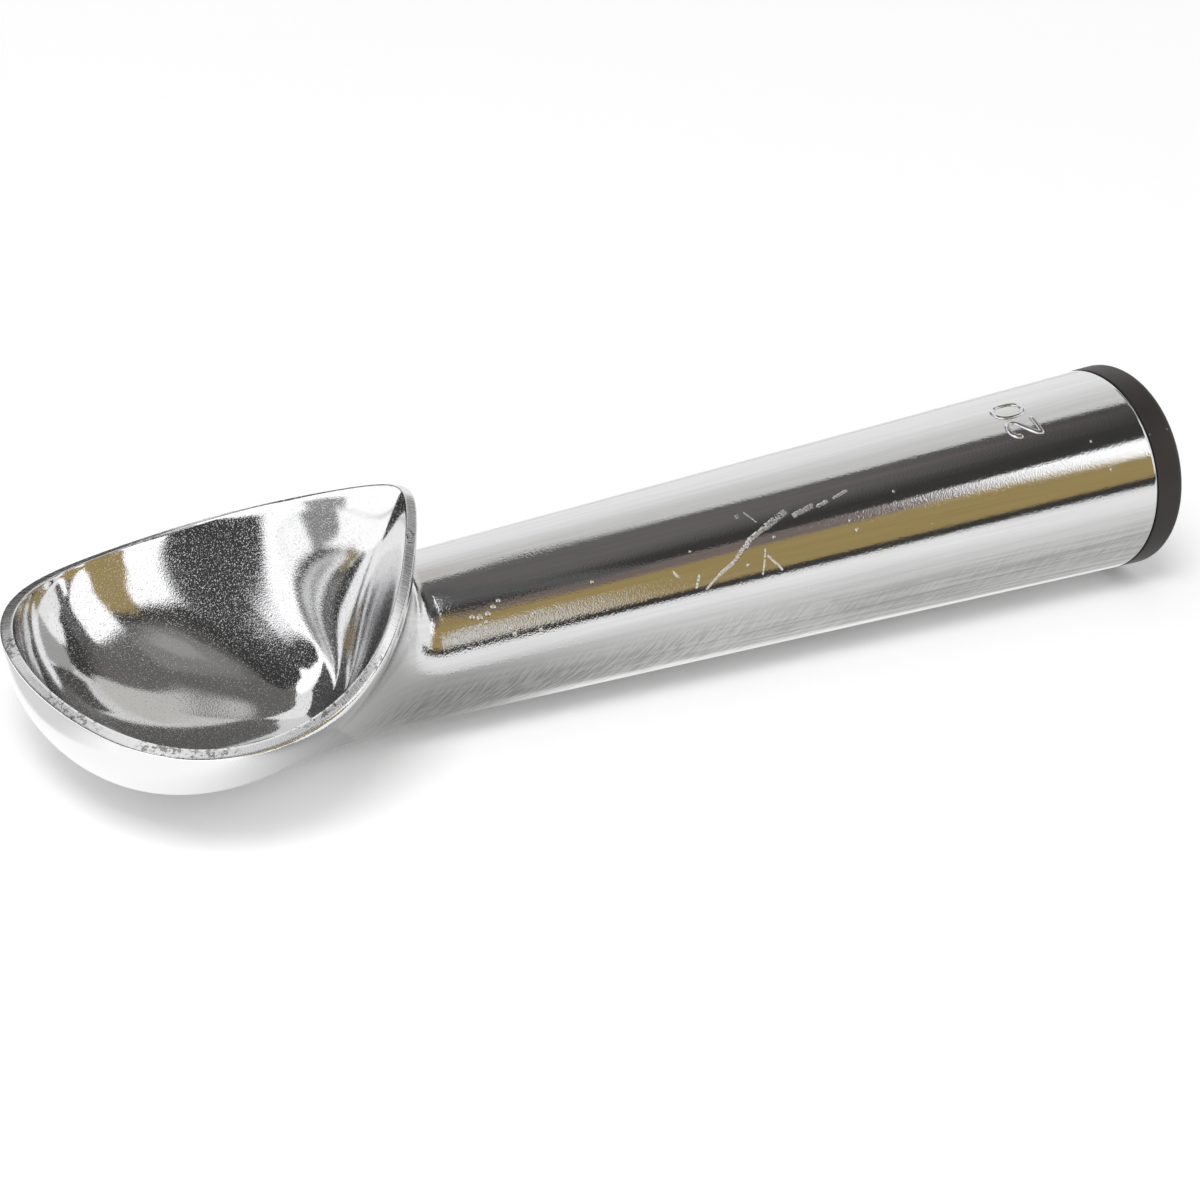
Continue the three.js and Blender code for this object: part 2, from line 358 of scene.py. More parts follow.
def groundLand():
    material, wire = newMaterial("groundLand")
    place = handlePlace(wire)
    along = wire.add("ShaderNodeUVMap", {"uv_map": "along"})
    hatch = grain(wire, stretched(wire, along, ground["hatchScale"]), 1.0, 2.0, 0.6)
    clouds = grain(wire, place, 150.0, 2.0)
    patches = step(grain(wire, place, ground["patchScale"], 1.0), 0.46, 0.56)
    nicks = step(grain(wire, place, ground["nickScale"], 3.0, 0.7), 0.52, 0.59) * patches
    rough = 0.24 + 0.14 * step(hatch, 0.4, 0.7)
    shade = mixShade(wire, step(hatch, 0.3, 0.7), *ground["shades"])
    shade = mixShade(wire, nicks, shade, ground["nickShade"])
    normal = bump(wire, hatch + 0.8 * clouds - 3.0 * nicks, *ground["bump"])
    finishMaterial(
        wire,
        {"Base Color": shade, "Metallic": 1.0, "Roughness": rough, "Normal": normal},
    )
    return material


# rough inside of the chamber and bore
def castWall():
    material, wire = newMaterial("castWall")
    place = handlePlace(wire)
    crust = grain(wire, place, 600.0, 4.0, 0.6)
    shade = mixShade(wire, crust, (0.5, 0.5, 0.51), (0.66, 0.66, 0.66))
    normal = bump(wire, crust, 0.5, 0.0001)
    finishMaterial(
        wire,
        {"Base Color": shade, "Metallic": 1.0, "Roughness": 0.4 + 0.15 * crust, "Normal": normal},
    )
    return material


handle = {
    "length": 118.6,
    "endRadius": 15.0,
    "neckRadius": 11.4,
    "endChamfer": 0.22,
    "chamferSegments": 2,
    "endRings": (-1.2, -0.5),
}
rim = {
    "heel": Vector((-120.9, 0.0, 23.2)),
    "tip": Vector((-172.4, 0.0, 6.8)),
    "side": Vector((-142.9, 24.4, 10.0)),
    "landWidth": 1.5,
    "landDrop": 0.55,
    "edgeRound": 0.16,
    "edgeSegments": 3,
    "nickDepth": 0.16,
    "nickScales": (0.45, 1.7),
    "nickStart": 0.1,
}
underside = {"bottom": Vector((-138.0, 0.0, -11.4)), "pole": Vector((-139.4, 0.0, -9.1))}
oval = {"egg": -0.237, "cheek": -0.033, "brow": 0.013, "shoulder": 0.018, "onset": 1.84, "trim": 0.0045}
skinShape = {
    "keel": -0.036,
    "neckTop": 0.44,
    "heelUp": 0.62,
    "heelLean": 0.05,
    "underRear": 0.37,
    "underMid": 0.57,
    "underFront": 1.0,
    "tipDown": 0.24,
    "sideNeck": 0.69,
    "sideBack": -0.1,
    "sideTuck": -0.2,
    "sideDrop": 0.45,
}
hollowShape = {
    "front": 0.78,
    "tipDown": 0.48,
    "heelOut": 0.92,
    "ramp": 0.47,
    "sideOut": 0.38,
    "sideBack": -0.76,
    "sideTuck": 0.04,
    "sideDrop": 0.22,
}
chamber = {
    "wall": 3.2,
    "pastNeck": 4.0,
    "domeLength": 11.0,
    "boreRadius": 12.0,
    "boreDepth": 18.0,
    "rows": 6,
}
fine = {
    "around": 192,
    "hollowRows": 72,
    "landRows": 4,
    "skinRows": 96,
    "handleRows": 24,
    "domeRows": 8,
    "guidePoints": 400,
    "merge": 0.002,
}
taper = (handle["endRadius"] - handle["neckRadius"]) / handle["length"]


def gripRadius(x):
    return handle["endRadius"] + taper * x


def guide(*bends):
    # one or more Bezier bends as a dense line of points
    line = []
    for bend in bends:
        line += geometry.interpolate_bezier(*bend, fine["guidePoints"])
    return line


def evenly(line, steps):
    # points spaced evenly along a line
    lengths = [0.0]
    for before, after in zip(line, line[1:]):
        lengths.append(lengths[-1] + (after - before).length)
    spots = []
    k = 0
    for n in range(steps + 1):
        goal = lengths[-1] * n / steps
        while k < len(line) - 2 and lengths[k + 1] < goal:
            k += 1
        span = lengths[k + 1] - lengths[k]
        share = (goal - lengths[k]) / span if span else 0.0
        spots.append(line[k].lerp(line[k + 1], min(max(share, 0.0), 1.0)))
    return spots


def ovalRing(top, under, flank, eggWeight, keelWeight):
    ring = []
    middle = (top + under) / 2
    halfLength = (top.x - under.x) / 2
    for k in range(fine["around"]):
        angle = 2 * math.pi * k / fine["around"]
        lift = (1 + math.cos(angle)) / 2
        bow = (1 - math.cos(2 * angle)) / 2
        shoulder = eggWeight * oval["shoulder"] * (math.cos(3 * angle) - math.cos(angle))
        slim = math.sin(3 * angle) + math.sin(angle)
        egg = oval["egg"] * math.sin(2 * angle) + oval["cheek"] * math.sin(4 * angle) + oval["brow"] * slim
        spot = under + (top - under) * lift + (flank - middle) * bow
        spot.x += halfLength * shoulder
        spot.y = flank.y * (math.sin(angle) + eggWeight * egg + keelWeight * slim)
        spot.y *= 1 - oval["trim"] * eggWeight
        ring.append(spot)
    return ring


def roundRing(x, radius):
    ring = []
    for k in range(fine["around"]):
        angle = 2 * math.pi * k / fine["around"]
        ring.append(Vector((x, radius * math.sin(angle), radius * math.cos(angle))))
    return ring


def strungRings(tops, unders, flanks, keel):
    rings = []
    last = len(tops) - 1
    for k, (top, under, flank) in enumerate(zip(tops, unders, flanks)):
        share = k / last
        rings.append(ovalRing(top, under, flank, share ** oval["onset"], keel * math.sin(math.pi * share)))
    return rings


def skinRings():
    shape = skinShape
    bottom = underside["bottom"]
    width, drop = rim["landWidth"], rim["landDrop"]
    landHeel = rim["heel"] + Vector((width, 0, -drop))
    landTip = rim["tip"] + Vector((-width, 0, -drop))
    landSide = rim["side"] + Vector((0, width, -drop))
    neckX, neck = -handle["length"], handle["neckRadius"]
    neckTop = Vector((neckX, 0, neck))
    neckUnder = Vector((neckX, 0, -neck))
    neckSide = Vector((neckX, neck, 0))
    rise = landHeel.z - neckTop.z
    reach = shape["neckTop"] * rise
    topLine = guide((
        neckTop,
        neckTop + Vector((-reach, 0, -taper * reach)),
        landHeel + Vector((-shape["heelLean"] * rise, 0, -shape["heelUp"] * rise)),
        landHeel,
    ))
    rearSpan, frontSpan = neckX - bottom.x, bottom.x - landTip.x
    reach = shape["underRear"] * rearSpan
    underLine = guide(
        (
            neckUnder,
            neckUnder + Vector((-reach, 0, taper * reach)),
            bottom + Vector((shape["underMid"] * rearSpan, 0, 0)),
            bottom,
        ),
        (
            bottom,
            bottom + Vector((-shape["underFront"] * frontSpan, 0, 0)),
            landTip + Vector((0, 0, -shape["tipDown"] * (landTip.z - bottom.z))),
            landTip,
        ),
    )
    span = neckSide - landSide
    reach = shape["sideNeck"] * span.x
    sideLine = guide((
        neckSide,
        neckSide + Vector((-reach, -taper * reach, 0)),
        landSide + Vector((
            shape["sideBack"] * span.x,
            shape["sideTuck"] * span.y,
            shape["sideDrop"] * span.z,
        )),
        landSide,
    ))
    rows = fine["skinRows"]
    return strungRings(evenly(topLine, rows), evenly(underLine, rows), evenly(sideLine, rows), shape["keel"])


def hollowRings():
    shape = hollowShape
    pole, heel, tip, side = underside["pole"], rim["heel"], rim["tip"], rim["side"]
    heelOut = shape["heelOut"] * (heel.x - pole.x)
    heelLine = guide((
        pole,
        pole + Vector((heelOut, 0, 0)),
        heel - shape["ramp"] * Vector((heelOut, 0, heel.z - pole.z)),
        heel,
    ))
    tipLine = guide((
        pole,
        pole + Vector((-shape["front"] * (pole.x - tip.x), 0, 0)),
        tip - Vector((0, 0, shape["tipDown"] * (tip.z - pole.z))),
        tip,
    ))
    sideLine = guide((
        pole,
        pole + Vector((0, shape["sideOut"] * side.y, 0)),
        side + Vector((
            shape["sideBack"] * (pole.x - side.x),
            -shape["sideTuck"] * side.y,
            -shape["sideDrop"] * (side.z - pole.z),
        )),
        side,
    ))
    rows = fine["hollowRows"]
    return strungRings(evenly(heelLine, rows), evenly(tipLine, rows), evenly(sideLine, rows), 0.0)


def chamberRings():
    # rear face, bore, chamber and its domed end, from the outside inwards
    rings = [roundRing(0.0, handle["endRadius"]), roundRing(0.0, chamber["boreRadius"])]
    rings.append(roundRing(-chamber["boreDepth"], chamber["boreRadius"]))
    rear = -chamber["boreDepth"]
    domeX = -handle["length"] - chamber["pastNeck"] + chamber["domeLength"]
    for k in range(chamber["rows"] + 1):
        x = rear + (domeX - rear) * k / chamber["rows"]
        rings.append(roundRing(x, gripRadius(x) - chamber["wall"]))
    radius = gripRadius(domeX) - chamber["wall"]
    for k in range(1, fine["domeRows"] + 1):
        angle = math.pi / 2 * k / fine["domeRows"]
        rings.append(roundRing(domeX - chamber["domeLength"] * math.sin(angle), radius * math.cos(angle)))
    return rings


def landRings(inner, outer):
    # the ground band between the two edges, a little dented along its way
    rings = []
    rows = fine["landRows"]
    for row in range(1, rows):
        share = row / rows
        ring = []
        for a, b in zip(inner, outer):
            spot = a.lerp(b, share)
            dent = sum(noise.noise(spot * scale) for scale in rim["nickScales"]) / 2
            spot.z -= rim["nickDepth"] * max(0.0, dent - rim["nickStart"])
            ring.append(spot)
        rings.append(ring)
    return rings


def growSkin(bm, rings, slots):
    # one circle pulled along ring by ring; each row of faces takes its material slot
    spotLayer = bm.verts.layers.int.new("spot")
    rowLayer = bm.verts.layers.int.new("row")
    count = len(rings[0])
    made = bmesh.ops.create_circle(bm, segments=count, radius=1.0)
    for k, vert in enumerate(made["verts"]):
        vert[spotLayer] = k
        vert.co = rings[0][k]
    edges = list(bm.edges)
    edgeRows = [edges]
    for row, ring in enumerate(rings[1:], 1):
        grown = bmesh.ops.extrude_edge_only(bm, edges=edges)["geom"]
        edges = [part for part in grown if isinstance(part, bmesh.types.BMEdge) and part.is_boundary]
        for part in grown:
            if isinstance(part, bmesh.types.BMVert):
                part.co = ring[part[spotLayer]]
                part[rowLayer] = row
        for edge in edges:
            edge.link_faces[0].material_index = slots[row - 1]
        edgeRows.append(edges)
    uvLayer = bm.loops.layers.uv.new("along")
    for face in bm.faces:
        spots = [loop.vert[spotLayer] for loop in face.loops]
        wraps = max(spots) - min(spots) > count / 2
        for loop, spot in zip(face.loops, spots):
            turned = spot + count if wraps and spot == 0 else spot
            loop[uvLayer].uv = (turned / count, loop.vert[rowLayer] / len(rings))
    return edgeRows


def softEdges(bm, edges, offset, segments):
    bmesh.ops.bevel(
        bm,
        geom=edges,
        offset=offset,
        offset_type="OFFSET",
        affect="EDGES",
        segments=segments,
        profile=0.5,
        material=-1,
    )


def toPiece(bm, name, materials, sharpAngle=35.0):
    bmesh.ops.remove_doubles(bm, verts=bm.verts, dist=fine["merge"])
    bmesh.ops.recalc_face_normals(bm, faces=bm.faces)
    bmesh.ops.transform(bm, matrix=toFrame, verts=bm.verts)
    for face in bm.faces:
        face.smooth = True
    for edge in bm.edges:
        if len(edge.link_faces) == 2 and edge.calc_face_angle(0.0) > math.radians(sharpAngle):
            edge.smooth = False
    mesh = bpy.data.meshes.new(name)
    bm.to_mesh(mesh)
    bm.free()
    for material in materials:
        mesh.materials.append(material)
    piece = bpy.data.objects.new(name, mesh)
    scene.collection.objects.link(piece)
    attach(piece, "root")
    return piece


# one casting: bowl, rim, handle and chamber
def castScoop():
    hollow = hollowRings()
    skin = skinRings()
    skin.reverse()
    land = landRings(hollow[-1], skin[0])
    neckX = -handle["length"]
    grip = []
    for k in range(1, fine["handleRows"]):
        x = neckX * (1 - k / fine["handleRows"])
        grip.append(roundRing(x, gripRadius(x)))
    for x in handle["endRings"]:
        grip.append(roundRing(x, gripRadius(x)))
    inside = chamberRings()
    rings = hollow + land + skin + grip + inside
    # finishes in order: hollow, land, outside, chamber
    slots = [0] * (len(hollow) - 1) + [1] * (len(land) + 1)
    slots += [2] * (len(skin) - 1 + len(grip) + 1) + [3] * (len(inside) - 1)
    bm = bmesh.new()
    edgeRows = growSkin(bm, rings, slots)
    innerEdge = len(hollow) - 1
    outerEdge = innerEdge + len(land) + 1
    endEdge = len(hollow) + len(land) + len(skin) + len(grip)
    endEdges = list(edgeRows[endEdge])
    rimEdges = list(edgeRows[innerEdge]) + list(edgeRows[outerEdge])
    softEdges(bm, rimEdges, rim["edgeRound"], rim["edgeSegments"])
    endEdges = [edge for edge in endEdges if edge.is_valid]
    softEdges(bm, endEdges, handle["endChamfer"], handle["chamferSegments"])
    finishes = [brightHollow(), groundLand(), polishedSkin(), castWall()]
    piece = toPiece(bm, "castScoop", finishes)
    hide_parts("scoop_casting")
    return piece


casting = castScoop()
print("casting made, faces:", len(casting.data.polygons))


# raised figures of the portion size, strokes laid on the handle
figures = {
    "baseX": -16.85,
    "strokeHalf": 0.42,
    "rise": 0.26,
    "zeroCentre": (-1.53, 2.5),
    "zeroHalf": (1.5, 2.5),
    "zeroBulge": 0.82,
    "zeroPoints": 24,
    "twoStroke": [
        (-6.95, 3.75),
        (-6.75, 4.35),
        (-6.2, 4.85),
        (-5.5, 5.05),
        (-4.75, 4.85),
        (-4.25, 4.3),
        (-4.2, 3.6),
        (-4.6, 2.95),
        (-5.4, 2.3),
        (-6.3, 1.5),
        (-6.9, 0.75),
        (-7.1, 0.05),
    ],
    "twoFoot": [(-7.1, 0.05), (-6.2, 0.05), (-5.3, 0.05), (-4.35, 0.05)],
    "stepsAlong": 5,
    "ringCount": 10,
    "endRings": [(0.6, 0.75), (1.0, 0.05)],
    "sharpAngle": 60.0,
    "peelScale": 1500.0,
    "shades": ((0.72, 0.72, 0.725), (0.79, 0.79, 0.79)),
    "bump": (0.3, 0.00006),
}


def figurePaint():
    material, wire = newMaterial("figurePaint")
    place = handlePlace(wire)
    peel = grain(wire, place, figures["peelScale"], 2.0, 0.5)
    shade = mixShade(wire, peel, *figures["shades"])
    normal = bump(wire, peel, *figures["bump"])
    finishMaterial(
        wire,
        {"Base Color": shade, "Metallic": 1.0, "Roughness": 0.1 + 0.06 * peel, "Normal": normal},
    )
    return material


def onHandle(across, up, lift):
    # a point given by its way round the handle and its height in the figure
    x = figures["baseX"] - up
    radius = gripRadius(x)
    angle = -across / radius
    radius += lift
    return Vector((x, -radius * math.sin(angle), radius * math.cos(angle)))


def smoothLine(points, closed):
    # rounded line through the points
    line = []
    count = len(points)
    spans = count if closed else count - 1
    for k in range(spans):
        around = []
        for n in (k - 1, k, k + 1, k + 2):
            around.append(points[n % count] if closed else points[min(max(n, 0), count - 1)])
        before, start, end, after = (Vector(spot) for spot in around)
        bend = (start, start + (end - before) / 6, end - (after - start) / 6, end)
        bend = [spot.to_3d() for spot in bend]
        line += [spot.to_2d() for spot in geometry.interpolate_bezier(*bend, figures["stepsAlong"] + 1)[:-1]]
    if not closed:
        line.append(Vector(points[-1]))
    return line


def strokeRings(line, closed):
    rings = []
    count = len(line)
    for k, spot in enumerate(line):
        ahead = line[(k + 1) % count] if closed else line[min(k + 1, count - 1)]
        behind = line[k - 1] if closed else line[max(k - 1, 0)]
        way = (ahead - behind).normalized()
        aside = Vector((way.y, -way.x))
        ring = []
        for n in range(figures["ringCount"]):
            angle = 2 * math.pi * n / figures["ringCount"]
            offset = spot + aside * (figures["strokeHalf"] * math.cos(angle))
            ring.append(onHandle(offset.x, offset.y, figures["rise"] * math.sin(angle)))
        rings.append(ring)
    return rings


def endRing(ring, share):
    centre = sum(ring, Vector()) / len(ring)
    return [centre.lerp(spot, share) for spot in ring]


def roundEnd(ring, behind):
    # two smaller rings that round off a stroke's end
    way = (ring[0] - behind[0]).normalized() * figures["strokeHalf"]
    return [[spot + way * reach for spot in endRing(ring, share)] for reach, share in figures["endRings"]]


def raiseStroke(bm, line, closed):
    rings = strokeRings(line, closed)
    if closed:
        rings.append(rings[0])
    else:
        first = roundEnd(rings[0], rings[1])
        last = roundEnd(rings[-1], rings[-2])
        rings = [first[1], first[0]] + rings + last
    part = bmesh.new()
    growSkin(part, rings, [0] * (len(rings) - 1))
    bmesh.ops.remove_doubles(part, verts=part.verts, dist=fine["merge"])
    bmesh.ops.holes_fill(part, edges=part.edges, sides=0)
    bmesh.ops.recalc_face_normals(part, faces=part.faces)
    carrier = bpy.data.meshes.new("stroke")
    part.to_mesh(carrier)
    part.free()
    bm.from_mesh(carrier)
    bpy.data.meshes.remove(carrier)


def raiseFigures():
    bm = bmesh.new()
    centre, half = figures["zeroCentre"], figures["zeroHalf"]
    zero = []
    bulge = figures["zeroBulge"]
    for k in range(figures["zeroPoints"]):
        angle = 2 * math.pi * k / figures["zeroPoints"]
        side = math.copysign(abs(math.cos(angle)) ** bulge, math.cos(angle))
        tall = math.copysign(abs(math.sin(angle)) ** bulge, math.sin(angle))
        zero.append((centre[0] + half[0] * side, centre[1] + half[1] * tall))
    raiseStroke(bm, smoothLine(zero, True), True)
    raiseStroke(bm, smoothLine(figures["twoStroke"], False), False)
    raiseStroke(bm, smoothLine(figures["twoFoot"], False), False)
    return toPiece(bm, "raisedFigures", [figurePaint()], figures["sharpAngle"])


raisedFigures = raiseFigures()
print("figures raised, faces:", len(raisedFigures.data.polygons))


# plastic end cap: a cup whose spigot sits in the bore
cap = {
    "length": 5.2,
    "gap": 0.3,
    "spigotRadius": 11.7,
    "spigotWall": 2.0,
    "spigotEnd": -9.4,
    "spigotChamfer": 0.7,
    "floor": 3.0,
    "edge": 1.3,
    "frontEdge": 0.12,
    "edgeRows": 8,
    "steps": 160,
    "sharpAngle": 40.0,
    "mottleScale": 220.0,
    "grainScale": 2600.0,
    "speckScale": 420.0,
    "shades": ((0.019, 0.0145, 0.0135), (0.03, 0.0245, 0.0225)),
    "speckShade": (0.5, 0.48, 0.46),
    "bump": (0.25, 0.00005),
}


def capPlastic():
    material, wire = newMaterial("capPlastic")
    place = handlePlace(wire)
    mottle = grain(wire, place, cap["mottleScale"], 3.0, 0.6)
    fineGrain = grain(wire, place, cap["grainScale"], 2.0, 0.5)
    specks = wire.add(
        "ShaderNodeTexVoronoi",
        {"feature": "F1"},
        {"Vector": place, "Scale": cap["speckScale"], "Randomness": 1.0},
    )
    speckMask = (1 - step(specks, 0.07, 0.12)) * step(grain(wire, place, 300.0, 1.0), 0.6, 0.66)
    shade = mixShade(wire, mottle, *cap["shades"])
    shade = mixShade(wire, speckMask, shade, cap["speckShade"])
    normal = bump(wire, fineGrain + 0.4 * mottle, *cap["bump"])
    finishMaterial(
        wire,
        {"Base Color": shade, "Roughness": 0.42 + 0.14 * mottle, "Specular IOR Level": 0.4, "Normal": normal},
    )
    return material


def mouldCap():
    inner = cap["spigotRadius"] - cap["spigotWall"]
    hollowEnd = cap["length"] - cap["floor"]
    edgeX = cap["length"] - cap["edge"]
    edgeCentre = gripRadius(edgeX) - cap["edge"]
    profile = [
        (hollowEnd, 0.0),
        (hollowEnd, inner),
        (cap["spigotEnd"], inner),
        (cap["spigotEnd"], cap["spigotRadius"] - cap["spigotChamfer"]),
        (cap["spigotEnd"] + cap["spigotChamfer"], cap["spigotRadius"]),
        (cap["gap"], cap["spigotRadius"]),
        (cap["gap"], gripRadius(cap["gap"]) - cap["frontEdge"]),
        (cap["gap"] + cap["frontEdge"], gripRadius(cap["gap"] + cap["frontEdge"])),
    ]
    for k in range(cap["edgeRows"] + 1):
        angle = math.pi / 2 * k / cap["edgeRows"]
        profile.append((edgeX + cap["edge"] * math.sin(angle), edgeCentre + cap["edge"] * math.cos(angle)))
    profile.append((cap["length"], 0.0))
    bm = bmesh.new()
    corners = [bm.verts.new((x, 0.0, radius)) for x, radius in profile]
    for start, end in zip(corners, corners[1:]):
        bm.edges.new((start, end))
    bmesh.ops.spin(
        bm,
        geom=bm.verts[:] + bm.edges[:],
        cent=(0, 0, 0),
        axis=(1, 0, 0),
        dvec=(0, 0, 0),
        angle=2 * math.pi,
        steps=cap["steps"],
        use_merge=True,
        use_duplicate=False,
    )
    piece = toPiece(bm, "plasticCap", [capPlastic()], cap["sharpAngle"])
    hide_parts("end_cap")
    return piece


plasticCap = mouldCap()
print("cap moulded, faces:", len(plasticCap.data.polygons))


# the hidden pieces inside the handle keep their solids and get their finishes
def heatLiquid():
    material, wire = newMaterial("heatLiquid")
    place = handlePlace(wire)
    cloud = grain(wire, place, 60.0, 2.0)
    shade = mixShade(wire, cloud, (0.5, 0.66, 0.56), (0.62, 0.76, 0.66))
    finishMaterial(wire, {"Base Color": shade, "Roughness": 0.05 + 0.05 * cloud})
    return material


def turnedPlug():
    material, wire = newMaterial("turnedPlug")
    place = handlePlace(wire)
    rings = grain(wire, stretched(wire, place, (3000.0, 40.0, 40.0)), 1.0, 2.0)
    shade = mixShade(wire, rings, (0.6, 0.6, 0.61), (0.72, 0.72, 0.72))
    normal = bump(wire, rings, 0.3, 0.00005)
    finishMaterial(
        wire,
        {"Base Color": shade, "Metallic": 1.0, "Roughness": 0.25 + 0.15 * rings, "Normal": normal},
    )
    return material


def sealRubber():
    material, wire = newMaterial("sealRubber")
    place = handlePlace(wire)
    bloom = grain(wire, place, 500.0, 3.0)
    shade = mixShade(wire, bloom, (0.012, 0.012, 0.012), (0.03, 0.03, 0.031))
    finishMaterial(wire, {"Base Color": shade, "Roughness": 0.6 + 0.2 * bloom})
    return material


hiddenFinishes = {"heat_fluid": heatLiquid, "closure_plug": turnedPlug, "plug_seal_ring": sealRubber}
for nodeName, makeFinish in hiddenFinishes.items():
    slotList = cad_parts[nodeName].data.materials
    slotList.clear()
    slotList.append(makeFinish())
print("hidden pieces finished")


# studio: pale floor, soft lamps, and cards that only the metal's reflections see
studio = {
    "floorHalf": 3.0,
    "floorShades": ((0.89, 0.89, 0.89), (0.91, 0.91, 0.91)),
    "floorLift": 0.18,
    "floorGloss": 0.3,
    "ambient": 0.53,
    "cardDistance": 2.2,
    "cardStep": 0.03,
    "cardCuts": 3,
    "domeRows": 4,
    "domePull": 0.4,
}


def rayKinds(wire):
    # 1 for rays from the camera, from gloss and through glass
    camera = wire.add("ShaderNodeLightPath", None, None, "Is Camera Ray")
    outputs = camera.socket.node.outputs
    glossy, through = (Wire(wire.tree, outputs[kind]) for kind in ("Is Glossy Ray", "Is Transmission Ray"))
    return camera, glossy, through


def floorFinish():
    material, wire = newMaterial("paleFloor")
    place = wire.add("ShaderNodeTexCoord", None, None, "Object")
    cloud = grain(wire, place, 3.0, 2.0)
    shade = mixShade(wire, cloud, *studio["floorShades"])
    matte = wire.add("ShaderNodeBsdfDiffuse", None, {"Color": shade})
    direct, glossy, through = rayKinds(wire)
    lift = studio["floorLift"] * (direct + studio["floorGloss"] * glossy + through)
    glow = wire.add("ShaderNodeEmission", None, {"Color": (1.0, 1.0, 1.0, 1.0), "Strength": lift})
    both = wire.add("ShaderNodeAddShader", None, {0: matte, 1: glow})
    wire.add("ShaderNodeOutputMaterial", None, {"Surface": both})
    return material


def layFloor():
    bm = bmesh.new()
    bmesh.ops.create_grid(bm, x_segments=1, y_segments=1, size=studio["floorHalf"])
    mesh = bpy.data.meshes.new("paleFloor")
    bm.to_mesh(mesh)
    bm.free()
    mesh.materials.append(floorFinish())
    floor = bpy.data.objects.new("paleFloor", mesh)
    scene.collection.objects.link(floor)


layFloor()


def setWorld():
    world = bpy.data.worlds.new("paleRoom")
    scene.world = world
    world.use_nodes = True
    world.node_tree.nodes.clear()
    wire = Wire(world.node_tree)
    direct, glossy, through = rayKinds(wire)
    strength = studio["ambient"] + (1 - studio["ambient"]) * (direct + glossy + through)
    room = wire.add("ShaderNodeBackground", None, {"Color": (1.0, 1.0, 1.0, 1.0), "Strength": strength})
    wire.add("ShaderNodeOutputWorld", None, {"Surface": room})


setWorld()

lamps = {
    "overhead": {"place": (-0.95, -0.78, 2.0), "size": (0.9, 0.9), "power": 27.0},
    "side": {"place": (0.6, -0.5, 0.8), "size": (0.5, 0.5), "power": 0.5},
}
for lampName, lamp in lamps.items():
    lampData = bpy.data.lights.new(lampName, "AREA")
    lampData.shape = "RECTANGLE"
    lampData.size, lampData.size_y = lamp["size"]
    lampData.energy = lamp["power"]
    lampObject = bpy.data.objects.new(lampName, lampData)
    lampObject.location = lamp["place"]
    lampObject.rotation_mode = "QUATERNION"
    lampObject.rotation_quaternion = Vector(lamp["place"]).to_track_quat("Z", "Y")
    lampObject.visible_glossy = False
    scene.collection.objects.link(lampObject)

